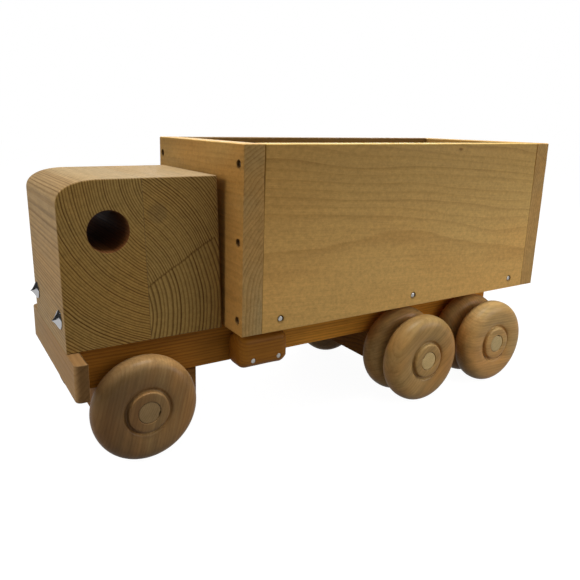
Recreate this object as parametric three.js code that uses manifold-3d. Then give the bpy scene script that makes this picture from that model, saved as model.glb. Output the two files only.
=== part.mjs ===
// A handmade wooden toy dump truck: a solid two-block cab, a nailed dump box that tilts on a rear
// hinge, a front bumper, side tanks, one single front axle and two rear axles with twin wheels.
// Millimetres. +X is forward, +Y is the truck's left side and +Z is up. The origin lies on the
// floor under the middle of the truck. A station is a distance back from the foot of the cab's front.
import * as THREE from 'three';
import { mergeVertices } from 'three/addons/utils/BufferGeometryUtils.js';
import Module from 'manifold-3d';

const wasm = await Module();
wasm.setup();

// Driving dimensions
const FIT_GAP = 0.3;
const WHEEL = { radius: 44.45, width: 25.4, bore: 9.5, faceDrop: 0.7, segments: 28 };
const BOSS = { radius: 16.8, floorStart: 17.6, floorEnd: 19.3, grooveDepth: 4.2, lipRadius: 25 };
const TYRE = { shoulderStart: 33, roundness: 2.5, steps: 4 };
const AXLE_RADIUS = 9.2;
const AXLE_STATIONS = { front: 58.7, middle: 337.6, rear: 439.9 };
const FIRST_WHEEL_FACE = 46.8;
const TWIN_SPACING = 30.4;

const CHASSIS = { start: 10.3, end: 485, width: 88.9, bottom: 62.6, height: 38 };
const AXLE_BLOCK = { bottom: 31.3, frontStart: 25, frontEnd: 111.5, rearStart: 308, rearEnd: 469 };
const BUMPER = { thickness: 10, width: 166.8, height: 29.8, cornerRadius: 4.5 };
const TANK = { start: 141, end: 191, thickness: 26.2, bottom: 61.8, top: 91.8, cornerRadius: 4 };

const CAB = { length: 129.8, width: 118, height: 129.5, glueStation: 66.4 };
const CAB_LEAN = { front: 1.5, glue: 4.4, back: 5.1 };
const ROOF_CURVE = { length: 34, drop: 17, roundness: 2.35, steps: 9 };
const WINDOW = { station: 35.6, height: 90.4, radius: 15.9, segments: 32 };
const LAMP = { side: 45.3, height: 23.6, radius: 7.5, cone: 6.4, shankRadius: 1.5, shankLength: 15 };

const BOX = { start: 132.7, end: 506, width: 177.5, height: 155.5, board: 19 };
const HINGE = { width: 60, thickness: 1.5, knuckle: 2.6, pin: 1.2, centreKnuckle: 20, leafDrop: 19 };

// sunk is how far the top of a head lies below the surface; a hinge screw's head stands proud of its leaf
const NAIL = { headRadius: 2.1, headThickness: 0.9, shankRadius: 1.1, length: 33, sunk: 0.3 };
const TANK_NAIL = { ...NAIL, length: 45 };
const CAB_SCREW = { headRadius: 4.2, headThickness: 3, shankRadius: 2.1, length: 62, sunk: 0.3 };
const HINGE_SCREW = { headRadius: 2.6, headThickness: 1.1, shankRadius: 1.3, length: 14, sunk: -1.4 };

// Heights and stations that follow from them
const DECK = CHASSIS.bottom + CHASSIS.height + FIT_GAP;
const HALF_BOX = BOX.width / 2;
const HALF_CHASSIS = CHASSIS.width / 2;
const lampLean = CAB_LEAN.front * LAMP.height / CAB.height;
const LAMP_BASE = -lampLean - FIT_GAP;
const CENTRE = (BOX.end + LAMP_BASE - LAMP.cone) / 2;
const PIN = { station: CHASSIS.end + FIT_GAP + HINGE.knuckle, height: DECK - FIT_GAP - HINGE.knuckle };

const atStation = (station) => CENTRE - station;

// Materials
const woodMaterial = (color, roughness = 0.6) => new THREE.MeshStandardMaterial({ color, roughness });
const metalMaterial = (color, roughness) =>
  new THREE.MeshStandardMaterial({ color, roughness, metalness: 1 });
const MATERIALS = {
  cab: woodMaterial(0x8a7048),
  box: woodMaterial(0xa5834f),
  chassis: woodMaterial(0x7c5526),
  bumper: woodMaterial(0x8a6c45),
  tank: woodMaterial(0x6d4824),
  wheel: woodMaterial(0x8f7049, 0.45),
  dowel: woodMaterial(0xa98d62),
  nail: metalMaterial(0xd0d0cc, 0.3),
  lamp: metalMaterial(0xb8b8b4, 0.25),
  hinge: metalMaterial(0x9a958a, 0.4),
};

// Solids: three.js geometry in, manifold solid out, and back again
function toSolid(geometry) {
  const plain = geometry.clone();
  plain.deleteAttribute('normal');
  plain.deleteAttribute('uv');
  const merged = mergeVertices(plain, 1e-4);
  return new wasm.Manifold(new wasm.Mesh({
    numProp: 3,
    vertProperties: new Float32Array(merged.attributes.position.array),
    triVerts: new Uint32Array(merged.index.array),
  }));
}

function toGeometry(solid) {
  const mesh = solid.getMesh();
  const geometry = new THREE.BufferGeometry();
  geometry.setAttribute('position', new THREE.BufferAttribute(new Float32Array(mesh.vertProperties), 3));
  geometry.setIndex(new THREE.BufferAttribute(new Uint32Array(mesh.triVerts), 1));
  geometry.computeVertexNormals();
  return geometry;
}

const cutBy = (solid, cutters) => cutters.reduce((left, cutter) => left.subtract(cutter), solid);

// A board or block between two stations, two sideways places and two heights
function brick([start, end], [right, left], [low, high]) {
  const geometry = new THREE.BoxGeometry(end - start, left - right, high - low);
  geometry.translate(atStation((start + end) / 2), (left + right) / 2, (low + high) / 2);
  return toSolid(geometry);
}

// A cylinder that lies across the truck
function crossCylinder(radius, [right, left], station, height, segments) {
  const geometry = new THREE.CylinderGeometry(radius, radius, left - right, segments);
  geometry.translate(atStation(station), (left + right) / 2, height);
  return toSolid(geometry);
}

// A side-view outline in stations and heights, extruded across the truck's full given width
function sideProfile(outline, width) {
  const shape = new THREE.Shape(outline.map(([station, height]) => new THREE.Vector2(-station, height)));
  const geometry = new THREE.ExtrudeGeometry(shape, { depth: width, bevelEnabled: false });
  geometry.rotateX(Math.PI / 2);
  geometry.translate(CENTRE, width / 2, 0);
  return toSolid(geometry);
}

// A rectangle with rounded corners; round lists the radius at each corner, anticlockwise
function roundedRectangle([x0, x1], [y0, y1], round) {
  const [a, b, c, d] = round;
  const shape = new THREE.Shape();
  shape.moveTo(x0 + a, y0);
  shape.lineTo(x1 - b, y0);
  if (b) shape.absarc(x1 - b, y0 + b, b, -Math.PI / 2, 0, false);
  shape.lineTo(x1, y1 - c);
  if (c) shape.absarc(x1 - c, y1 - c, c, 0, Math.PI / 2, false);
  shape.lineTo(x0 + d, y1);
  if (d) shape.absarc(x0 + d, y1 - d, d, Math.PI / 2, Math.PI, false);
  shape.lineTo(x0, y0 + a);
  if (a) shape.absarc(x0 + a, y0 + a, a, Math.PI, 1.5 * Math.PI, false);
  return shape;
}

// Nails and screws, modelled along +Y with the head's top at zero
function fastenerGeometry({ headRadius, headThickness, shankRadius, length }) {
  const points = [
    [0, -length],
    [shankRadius, -length + 2 * shankRadius],
    [shankRadius, -headThickness],
    [headRadius, -headThickness],
    [headRadius, 0],
    [0, 0],
  ];
  return new THREE.LatheGeometry(points.map(([r, y]) => new THREE.Vector2(r, y)), 8);
}

function fastenerHole({ headRadius, headThickness, shankRadius, length }) {
  const points = [
    [0, -length - FIT_GAP],
    [shankRadius + FIT_GAP, -length - FIT_GAP],
    [shankRadius + FIT_GAP, -headThickness - FIT_GAP],
    [headRadius + FIT_GAP, -headThickness - FIT_GAP],
    [headRadius + FIT_GAP, 2 * headRadius],
    [0, 2 * headRadius],
  ];
  return new THREE.LatheGeometry(points.map(([r, y]) => new THREE.Vector2(r, y)), 8);
}

// Each fastener has a name, a kind, the surface point it is driven in at, and the way its head faces
function fastenerMatrix({ kind, point, facing }) {
  const [station, side, height] = point;
  const turn = new THREE.Quaternion().setFromUnitVectors(new THREE.Vector3(0, 1, 0), facing);
  const place = new THREE.Vector3(atStation(station), side, height).addScaledVector(facing, -kind.sunk);
  return new THREE.Matrix4().compose(place, turn, new THREE.Vector3(1, 1, 1));
}

const FORWARD = new THREE.Vector3(1, 0, 0);
const BACKWARD = new THREE.Vector3(-1, 0, 0);
const DOWNWARD = new THREE.Vector3(0, 0, -1);
const SIDES = { left: 1, right: -1 };
const outward = (sign) => new THREE.Vector3(0, sign, 0);

function boxNails() {
  const nails = [];
  const nailHeights = { low: DECK + 12, middle: DECK + 77.6, high: DECK + 139.8 };
  const floorStations = { front: 170, middle: 322.8, rear: 465.6 };
  const edge = HALF_BOX - 8.3;
  for (const [side, sign] of Object.entries(SIDES)) {
    for (const [level, height] of Object.entries(nailHeights)) {
      const front = { point: [BOX.start, sign * edge, height], facing: FORWARD };
      const rear = { point: [BOX.end, sign * edge, height], facing: BACKWARD };
      nails.push({ name: `front_board_nail_${side}_${level}`, kind: NAIL, ...front });
      nails.push({ name: `rear_board_nail_${side}_${level}`, kind: NAIL, ...rear });
    }
    for (const [position, station] of Object.entries(floorStations)) {
      const point = [station, sign * HALF_BOX, DECK + 10.4];
      nails.push({ name: `floor_nail_${side}_${position}`, kind: NAIL, point, facing: outward(sign) });
    }
  }
  return nails;
}

function tankNails() {
  const face = HALF_CHASSIS + FIT_GAP + TANK.thickness;
  const stations = { front: 154.5, rear: 180.7 };
  return Object.entries(SIDES).flatMap(([side, sign]) =>
    Object.entries(stations).map(([position, station]) => ({
      name: `tank_nail_${side}_${position}`,
      kind: TANK_NAIL,
      point: [station, sign * face, TANK.bottom + 7.5],
      facing: outward(sign),
    })));
}

function cabScrews() {
  const stations = { front: 33, rear: 98 };
  return Object.entries(stations).map(([position, station]) => ({
    name: `cab_screw_${position}`,
    kind: CAB_SCREW,
    point: [station, 0, CHASSIS.bottom],
    facing: DOWNWARD,
  }));
}

function hingeScrews() {
  const endFace = PIN.station - HINGE.knuckle + HINGE.thickness;
  const underside = PIN.height + HINGE.knuckle - HINGE.thickness;
  return Object.entries(SIDES).flatMap(([side, sign]) => [
    {
      name: `hinge_screw_chassis_${side}`,
      kind: HINGE_SCREW,
      point: [endFace, 20 * sign, PIN.height - 11],
      facing: BACKWARD,
    },
    {
      name: `hinge_screw_box_${side}`,
      kind: HINGE_SCREW,
      point: [PIN.station + 10, 20 * sign, underside],
      facing: DOWNWARD,
    },
  ]);
}

const FASTENERS = {
  box: boxNails(),
  tank: tankNails(),
  cab: cabScrews(),
  hinge: hingeScrews(),
};

const holesFor = (fasteners) => fasteners.map((fastener) =>
  toSolid(fastenerHole(fastener.kind).applyMatrix4(fastenerMatrix(fastener))));

// Cab: two blocks glued face to face, leaning a little forward, with a round window right through
function cabBlocks() {
  const top = DECK + CAB.height;
  const { length, drop, roundness, steps } = ROOF_CURVE;
  const roof = Array.from({ length: steps + 1 }, (_, i) => {
    const angle = (i / steps) * Math.PI / 2;
    const along = Math.cos(angle) ** (2 / roundness);
    const up = Math.sin(angle) ** (2 / roundness);
    return [length - CAB_LEAN.front - length * along, top - drop + drop * up];
  });
  const frontOutline = [
    [0, DECK],
    ...roof,
    [CAB.glueStation - CAB_LEAN.glue - FIT_GAP / 2, top],
    [CAB.glueStation - FIT_GAP / 2, DECK],
  ];
  const rearOutline = [
    [CAB.glueStation + FIT_GAP / 2, DECK],
    [CAB.glueStation - CAB_LEAN.glue + FIT_GAP / 2, top],
    [CAB.length - CAB_LEAN.back, top],
    [CAB.length, DECK],
  ];
  const acrossCab = [-CAB.width, CAB.width];
  const window = crossCylinder(
    WINDOW.radius, acrossCab, WINDOW.station, DECK + WINDOW.height, WINDOW.segments);
  const holes = [...holesFor(FASTENERS.cab), ...Object.values(SIDES).map(lampHole)];
  return {
    cab_front_block: cutBy(sideProfile(frontOutline, CAB.width), [window, ...holes]),
    cab_rear_block: cutBy(sideProfile(rearOutline, CAB.width), holes),
  };
}

// Headlights: turned metal studs with a hollow-sided cone, each on its own shank
const lampPlace = (sign) =>
  new THREE.Vector3(atStation(LAMP_BASE), sign * LAMP.side, DECK + LAMP.height);

function lampGeometry() {
  const { radius, shankRadius, shankLength } = LAMP;
  const points = [
    [0, -shankLength],
    [shankRadius, -shankLength + 2],
    [shankRadius, 0],
    [radius, 0],
    [radius, 0.8],
    [0.6 * radius, 2.1],
    [0.32 * radius, 3.6],
    [0.14 * radius, 5.4],
    [0, LAMP.cone],
  ];
  return new THREE.LatheGeometry(points.map(([r, y]) => new THREE.Vector2(r, y)), 16);
}

function lampHole(sign) {
  const place = lampPlace(sign);
  const depth = LAMP.shankLength + FIT_GAP;
  const geometry = new THREE.CylinderGeometry(
    LAMP.shankRadius + FIT_GAP, LAMP.shankRadius + FIT_GAP, 2 * depth, 12);
  geometry.rotateZ(-Math.PI / 2).translate(place.x, place.y, place.z);
  return toSolid(geometry);
}

// Chassis beam, the two axle blocks under it, the bumper across its nose and the side tanks
function axleBore(station) {
  return crossCylinder(
    AXLE_RADIUS + FIT_GAP, [-CHASSIS.width, CHASSIS.width], station, WHEEL.radius, WHEEL.segments);
}

function underframe() {
  const across = [-HALF_CHASSIS, HALF_CHASSIS];
  const blockHeights = [AXLE_BLOCK.bottom, CHASSIS.bottom - FIT_GAP];
  const beam = brick([CHASSIS.start, CHASSIS.end], across, [CHASSIS.bottom, DECK - FIT_GAP]);
  const screws = [...FASTENERS.tank, ...FASTENERS.cab, ...FASTENERS.hinge];
  const frontBlock = brick([AXLE_BLOCK.frontStart, AXLE_BLOCK.frontEnd], across, blockHeights);
  const rearBlock = brick([AXLE_BLOCK.rearStart, AXLE_BLOCK.rearEnd], across, blockHeights);
  return {
    chassis_beam: cutBy(beam, holesFor(screws)),
    front_axle_block: frontBlock.subtract(axleBore(AXLE_STATIONS.front)),
    rear_axle_block: cutBy(rearBlock, [axleBore(AXLE_STATIONS.middle), axleBore(AXLE_STATIONS.rear)]),
  };
}

function bumper() {
  const { thickness, width, height, cornerRadius } = BUMPER;
  const plan = roundedRectangle(
    [0, thickness], [-width / 2, width / 2], [0, cornerRadius, cornerRadius, 0]);
  const options = { depth: height, bevelEnabled: false, curveSegments: 5 };
  const geometry = new THREE.ExtrudeGeometry(plan, options);
  geometry.translate(atStation(thickness), 0, DECK - FIT_GAP - height);
  return toSolid(geometry);
}

function sideTank(sign) {
  const r = TANK.cornerRadius;
  const inner = HALF_CHASSIS + FIT_GAP;
  const section = roundedRectangle([inner, inner + TANK.thickness], [TANK.bottom, TANK.top], [r, r, r, r]);
  const options = { depth: TANK.end - TANK.start, bevelEnabled: false, curveSegments: 4 };
  const geometry = new THREE.ExtrudeGeometry(section, options);
  geometry.rotateY(Math.PI / 2).rotateX(Math.PI / 2);
  geometry.translate(atStation(TANK.end), 0, 0);
  if (sign < 0) geometry.rotateZ(Math.PI).translate(2 * atStation((TANK.start + TANK.end) / 2), 0, 0);
  return cutBy(toSolid(geometry), holesFor(FASTENERS.tank));
}

// Dump box: end boards cover the ends of the side boards, and the floor lies between all four
function dumpBox() {
  const heights = [DECK, DECK + BOX.height];
  const innerStart = BOX.start + BOX.board;
  const innerEnd = BOX.end - BOX.board;
  const between = [innerStart + FIT_GAP, innerEnd - FIT_GAP];
  const innerSide = HALF_BOX - BOX.board;
  const boards = {
    box_front_board: brick([BOX.start, innerStart], [-HALF_BOX, HALF_BOX], heights),
    box_rear_board: brick([innerEnd, BOX.end], [-HALF_BOX, HALF_BOX], heights),
    box_left_board: brick(between, [innerSide, HALF_BOX], heights),
    box_right_board: brick(between, [-HALF_BOX, -innerSide], heights),
    box_floor: brick(between, [FIT_GAP - innerSide, innerSide - FIT_GAP], [DECK, DECK + BOX.board]),
  };
  const holes = holesFor([...FASTENERS.box, ...FASTENERS.hinge]);
  for (const name of Object.keys(boards)) boards[name] = cutBy(boards[name], holes);
  return boards;
}

// Butt hinge between the chassis's end and the underside of the rear board
function boxHinge() {
  const { width, thickness, knuckle, pin, centreKnuckle, leafDrop } = HINGE;
  const half = width / 2;
  const split = centreKnuckle / 2;
  const barrel = (radius, span) => crossCylinder(radius, span, PIN.station, PIN.height, 16);
  const face = PIN.station - knuckle;
  const roof = PIN.height + knuckle;
  const outerSpans = [[-half, -split - FIT_GAP], [split + FIT_GAP, half]];
  const bore = barrel(pin + FIT_GAP, [-width, width]);
  const clearOf = (spans) => spans.map((span) => barrel(knuckle + FIT_GAP, span));
  const screwHoles = holesFor(FASTENERS.hinge);

  const endPlate = brick([face, face + thickness], [-half, half], [PIN.height - leafDrop, PIN.height]);
  const outerClear = clearOf([[-width, -split], [split, width]]);
  const chassisLeaf = cutBy(endPlate, outerClear).add(barrel(knuckle, [-split, split]));

  const underPlate = brick(
    [PIN.station, BOX.end - 1], [-half, half], [roof - thickness, roof]);
  const centreClear = clearOf([[-split - FIT_GAP, split + FIT_GAP]]);
  const boxLeaf = outerSpans.reduce(
    (leaf, span) => leaf.add(barrel(knuckle, span)), cutBy(underPlate, centreClear));

  return {
    hinge_chassis_leaf: cutBy(chassisLeaf, [bore, ...screwHoles]),
    hinge_box_leaf: cutBy(boxLeaf, [bore, ...screwHoles]),
    hinge_pin: barrel(pin, [-half - 1, half + 1]),
  };
}

// Wheels: a ring turned about the axle, with a boss and a groove on the side that faces out
function wheelGeometry() {
  const { radius, width, bore, faceDrop, segments } = WHEEL;
  const half = width / 2;
  const face = half - faceDrop;
  const { shoulderStart, roundness, steps } = TYRE;
  const shoulder = Array.from({ length: steps + 1 }, (_, i) => {
    const angle = (i / steps) * Math.PI / 2;
    const out = Math.sin(angle) ** (2 / roundness);
    const across = Math.cos(angle) ** (2 / roundness);
    return [shoulderStart + (radius - shoulderStart) * out, face * across];
  });
  const innerShoulder = shoulder.slice(0, -1).map(([r, y]) => [r, -y]);
  const outline = [
    [bore, -face],
    ...innerShoulder,
    ...shoulder.toReversed(),
    [BOSS.lipRadius, face],
    [BOSS.floorEnd, half - BOSS.grooveDepth],
    [BOSS.floorStart, half - BOSS.grooveDepth],
    [BOSS.radius, half],
    [bore, half],
    [bore, -face],
  ];
  return new THREE.LatheGeometry(outline.map(([r, y]) => new THREE.Vector2(r, y)), segments);
}

// Each wheel is named for its side and axle; twin wheels are told apart as inner and outer
function wheelPlaces() {
  const first = FIRST_WHEEL_FACE + WHEEL.width / 2;
  const rows = [
    ['front_wheel', AXLE_STATIONS.front, first],
    ['middle_inner_wheel', AXLE_STATIONS.middle, first],
    ['middle_outer_wheel', AXLE_STATIONS.middle, first + TWIN_SPACING],
    ['rear_inner_wheel', AXLE_STATIONS.rear, first],
    ['rear_outer_wheel', AXLE_STATIONS.rear, first + TWIN_SPACING],
  ];
  return rows.flatMap(([name, station, place]) =>
    Object.entries(SIDES).map(([side, sign]) => ({ name: `${side}_${name}`, station, place, sign })));
}

const axleReach = (twin) => FIRST_WHEEL_FACE + WHEEL.width + (twin ? TWIN_SPACING : 0);

// The whole truck
const truck = new THREE.Group();

function addMesh(name, geometry, material) {
  const mesh = new THREE.Mesh(geometry, material);
  mesh.name = name;
  truck.add(mesh);
  return mesh;
}

function addSolids(solids, material) {
  for (const [name, solid] of Object.entries(solids)) addMesh(name, toGeometry(solid), material);
}

addSolids(underframe(), MATERIALS.chassis);
addSolids({ front_bumper: bumper() }, MATERIALS.bumper);
addSolids({ left_side_tank: sideTank(1), right_side_tank: sideTank(-1) }, MATERIALS.tank);
addSolids(cabBlocks(), MATERIALS.cab);
addSolids(dumpBox(), MATERIALS.box);
addSolids(boxHinge(), MATERIALS.hinge);

for (const [side, sign] of Object.entries(SIDES)) {
  const lamp = addMesh(`${side}_headlight`, lampGeometry(), MATERIALS.lamp);
  lamp.position.copy(lampPlace(sign));
  lamp.rotation.z = -Math.PI / 2;
}

for (const [axle, station] of Object.entries(AXLE_STATIONS)) {
  const reach = axleReach(axle !== 'front');
  const geometry = new THREE.CylinderGeometry(AXLE_RADIUS, AXLE_RADIUS, 2 * reach, WHEEL.segments);
  const dowel = addMesh(`${axle}_axle`, geometry, MATERIALS.dowel);
  dowel.position.set(atStation(station), 0, WHEEL.radius);
}

for (const { name, station, place, sign } of wheelPlaces()) {
  const wheel = addMesh(name, wheelGeometry(), MATERIALS.wheel);
  wheel.position.set(atStation(station), sign * place, WHEEL.radius);
  if (sign < 0) wheel.rotation.x = Math.PI;
}

for (const fastener of Object.values(FASTENERS).flat()) {
  const mesh = addMesh(fastener.name, fastenerGeometry(fastener.kind), MATERIALS.nail);
  mesh.applyMatrix4(fastenerMatrix(fastener));
}

export default truck;
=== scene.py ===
"""Looks of the wooden toy dump truck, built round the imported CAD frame.

Metres, in the row frame: +X is the truck's front, +Y its left and +Z up. A station is a distance in
millimetres back from the foot of the cab's front, as in the CAD source.
"""

import math
import random

import bmesh
import bpy
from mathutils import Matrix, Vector, noise


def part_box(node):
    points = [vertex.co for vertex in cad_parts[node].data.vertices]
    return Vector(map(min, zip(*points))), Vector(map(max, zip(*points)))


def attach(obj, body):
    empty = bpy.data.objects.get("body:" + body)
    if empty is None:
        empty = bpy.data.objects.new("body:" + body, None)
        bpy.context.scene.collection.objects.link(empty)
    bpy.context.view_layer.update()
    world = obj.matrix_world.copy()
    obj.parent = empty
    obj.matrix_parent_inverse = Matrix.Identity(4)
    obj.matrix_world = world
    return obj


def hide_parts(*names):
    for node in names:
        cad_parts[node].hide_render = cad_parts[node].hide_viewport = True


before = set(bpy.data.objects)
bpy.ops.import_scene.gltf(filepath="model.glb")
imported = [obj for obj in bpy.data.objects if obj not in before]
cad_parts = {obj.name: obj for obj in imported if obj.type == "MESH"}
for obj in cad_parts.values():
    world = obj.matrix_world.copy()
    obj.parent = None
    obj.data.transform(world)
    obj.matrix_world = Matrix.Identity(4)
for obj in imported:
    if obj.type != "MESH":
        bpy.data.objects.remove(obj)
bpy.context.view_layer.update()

MM = 0.001
CHASSIS_START = 10.3
ZERO_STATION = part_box("chassis_beam")[1].x + CHASSIS_START * MM
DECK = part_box("cab_front_block")[0].z
UP = Vector((0, 0, 1))


def at(station, side, height):
    """A row-frame point from a station, a sideways place and a height, all in millimetres."""
    return Vector((ZERO_STATION - station * MM, side * MM, height * MM))


# ---- Meshes ----


def quarter(t, roundness):
    """A point on a quarter superellipse, from (1, 0) at t = 0 to (0, 1) at t = 1."""
    angle = math.pi / 2 * t
    return max(0.0, math.cos(angle)) ** (2 / roundness), max(0.0, math.sin(angle)) ** (2 / roundness)


def place_in_scene(name, data):
    made = bpy.data.objects.new(name, data)
    bpy.context.scene.collection.objects.link(made)
    return made


def make_object(name, verts, faces, smooth=True):
    mesh = bpy.data.meshes.new(name)
    mesh.from_pydata([tuple(v) for v in verts], [], faces)
    mesh.validate()
    work = bmesh.new()
    work.from_mesh(mesh)
    bmesh.ops.recalc_face_normals(work, faces=work.faces)
    work.to_mesh(mesh)
    work.free()
    if smooth:
        mesh.shade_smooth()
    return place_in_scene(name, mesh)


SHARP_ANGLE = 46


def even_normals(piece):
    """Large flat faces keep their own normal, so that only the rounded edges shade as curved."""
    piece.data.set_sharp_from_angle(angle=math.radians(SHARP_ANGLE))
    modifier = piece.modifiers.new("even_normals", "WEIGHTED_NORMAL")
    modifier.weight = 100
    modifier.keep_sharp = True


def ticks(low, high, radius, step, rounds=4):
    """Places of the grid lines between low and high, close together where the edges are round."""
    near = [radius * (1 - math.tan(math.radians(45 * (1 - i / rounds)))) for i in range(rounds + 1)]
    inner = (high - low) - 2 * radius
    count = max(1, round(inner / step))
    middle = [low + radius + inner * i / count for i in range(1, count)]
    return [low + t for t in near] + middle + [high - t for t in reversed(near)]


TOP_BLEND = (0.6, 0.35)
LONG_WANDER = 70
SHORT_WANDER = 210


def board_mesh(low, high, radius, step=0.012, wear=0.0, seed=0.0, top_radius=None):
    """A board or block with rounded edges whose radius wanders by wear, as sanded by hand.

    The radius becomes top_radius over the upper part of the height, as TOP_BLEND says.
    """
    top_radius = top_radius or radius
    widest = max(radius, top_radius)
    lines = [ticks(low[i], high[i], widest, step) for i in range(3)]
    last = [len(line) - 1 for line in lines]
    verts, index = [], {}

    def rounded(point):
        height = (point[2] - low[2]) / (high[2] - low[2])
        share = min(1, max(0, (height - TOP_BLEND[0]) / TOP_BLEND[1]))
        base = radius + (top_radius - radius) * share
        wander = noise.noise(Vector(point) * LONG_WANDER + Vector((seed, 3.1 * seed, 0)))
        wander += 0.6 * noise.noise(Vector(point) * SHORT_WANDER + Vector((0, seed, seed)))
        r = min(widest, max(0.25 * base, base * (1 + wear * wander)))
        core = Vector([min(high[i] - r, max(low[i] + r, point[i])) for i in range(3)])
        away = Vector(point) - core
        return core + away.normalized() * r if away.length > 1e-9 else Vector(point)

    def vertex(i, j, k):
        key = (i, j, k)
        if key not in index:
            index[key] = len(verts)
            verts.append(rounded((lines[0][i], lines[1][j], lines[2][k])))
        return index[key]

    faces = []
    for axis in range(3):
        a, b = (axis + 1) % 3, (axis + 2) % 3
        for end in (0, last[axis]):
            for i in range(last[a]):
                for j in range(last[b]):
                    corners = []
                    for da, db in ((0, 0), (1, 0), (1, 1), (0, 1)):
                        key = [0, 0, 0]
                        key[axis], key[a], key[b] = end, i + da, j + db
                        corners.append(vertex(*key))
                    faces.append(corners if end else corners[::-1])
    return verts, faces


def board(name, radius=0.8 * MM, grow=(0, 0, 0), **options):
    """A board in the place of its CAD node. grow moves the faces out a little, to close a glue gap."""
    low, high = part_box(name)
    low, high = low - Vector(grow), high + Vector(grow)
    piece = make_object("look_" + name, *board_mesh(low, high, radius, **options))
    even_normals(piece)
    return piece


def round_corners(outline, radii, steps=4):
    """An outline whose corners are arcs; a radius of 0 leaves a corner as it is."""
    made = []
    count = len(outline)
    for i, radius in enumerate(radii):
        here = Vector(outline[i])
        back = (Vector(outline[i - 1]) - here).normalized()
        ahead = (Vector(outline[(i + 1) % count]) - here).normalized()
        if radius == 0:
            made.append(here)
            continue
        half = back.angle(ahead) / 2
        centre = here + (back + ahead).normalized() * (radius / math.sin(half))
        start = here + back * (radius / math.tan(half)) - centre
        first = math.atan2(start.y, start.x)
        sweep = math.pi - 2 * half
        for j in range(steps + 1):
            angle = first + sweep * j / steps
            made.append(centre + Vector((math.cos(angle), math.sin(angle))) * radius)
    return made


def inset(outline, distances):
    """The outline with each edge moved inwards by its own distance. It runs anticlockwise."""
    made = []
    count = len(outline)
    for i in range(count):
        here = outline[i]
        before = (here - outline[i - 1]).normalized()
        after = (outline[(i + 1) % count] - here).normalized()
        n1, n2 = Vector((-before.y, before.x)), Vector((-after.y, after.x))
        d1, d2 = distances[i - 1], distances[i]
        cross = n1.x * n2.y - n1.y * n2.x
        if abs(cross) < 0.02:
            made.append(here + (n1 + n2).normalized() * (d1 + d2) / 2)
        else:
            x = (d1 * n2.y - d2 * n1.y) / cross
            y = (n1.x * d2 - n2.x * d1) / cross
            made.append(here + Vector((x, y)))
    return made


HOLE_SEGMENTS = 72


def prism(name, outline, span, radius, place, soft=None, holes=(), rounds=4, hole_round=0.5 * MM):
    """An outline extruded over a span, its rims rounded. place turns (u, v, w) into a row-frame point.

    soft lists, for each edge of the outline, how much of the rounding it takes, and holes lists
    (u, v, radius) of the round holes right through.
    """
    soft = soft or [1.0] * len(outline)
    angles = [math.pi / 2 * i / rounds for i in range(rounds + 1)]
    rings = []
    for a in angles:
        rings.append((span[0] + radius * (1 - math.cos(a)), 1 - math.sin(a)))
    for a in reversed(angles):
        rings.append((span[1] - radius * (1 - math.cos(a)), 1 - math.sin(a)))
    work = bmesh.new()

    def loft(loops):
        made = [[work.verts.new(place(p[0], p[1], w)) for p in loop] for w, loop in loops]
        for first, second in zip(made, made[1:]):
            for i in range(len(first)):
                j = (i + 1) % len(first)
                work.faces.new((first[i], first[j], second[j], second[i]))
        return made[0], made[-1]

    walls = [loft([(w, inset(outline, [radius * f * s for s in soft])) for w, f in rings])]
    turns = [2 * math.pi * i / HOLE_SEGMENTS for i in range(HOLE_SEGMENTS)]
    for u, v, size in holes:
        loops = []
        for w, f in rings:
            flare = size + hole_round * f
            loops.append((w, [(u + flare * math.cos(t), v + flare * math.sin(t)) for t in turns]))
        walls.append(loft(loops))
    for end_loops in zip(*walls):
        edges = []
        for loop in end_loops:
            for i, vert in enumerate(loop):
                edges.append(work.edges.get((vert, loop[(i + 1) % len(loop)])))
        bmesh.ops.triangle_fill(work, use_beauty=True, use_dissolve=False, edges=edges)
    bmesh.ops.recalc_face_normals(work, faces=work.faces)
    mesh = bpy.data.meshes.new(name)
    work.to_mesh(mesh)
    work.free()
    mesh.shade_smooth()
    piece = place_in_scene(name, mesh)
    even_normals(piece)
    return piece


NOTCH_FADE = 8 * MM


def lathe_mesh(profile, segments, centre, facing, notch=None):
    """A profile of (radius, distance out) turned about facing. notch gives (turn, half width, depth)."""
    turn = UP.rotation_difference(Vector(facing)).to_matrix()
    verts, faces, rows = [], [], []
    for radius, out in profile:
        if radius < 1e-7:
            rows.append([len(verts)] * segments)
            verts.append(turn @ Vector((0, 0, out)) + centre)
            continue
        row = []
        for i in range(segments):
            angle = 2 * math.pi * i / segments
            r = radius
            if notch:
                apart = abs((angle - notch[0] + math.pi) % (2 * math.pi) - math.pi)
                r -= notch[2] * max(0, 1 - (apart / notch[1]) ** 2) * min(1, radius / NOTCH_FADE) ** 4
            row.append(len(verts))
            verts.append(turn @ Vector((r * math.cos(angle), r * math.sin(angle), out)) + centre)
        rows.append(row)
    for first, second in zip(rows, rows[1:]):
        for i in range(segments):
            j = (i + 1) % segments
            corners = [first[i], first[j], second[j], second[i]]
            unique = list(dict.fromkeys(corners))
            if len(unique) > 2:
                faces.append(unique)
    return verts, faces


def turned(name, profile, centre, facing, segments=64, **options):
    piece = make_object(name, *lathe_mesh(profile, segments, Vector(centre), facing, **options))
    even_normals(piece)
    return piece


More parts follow.
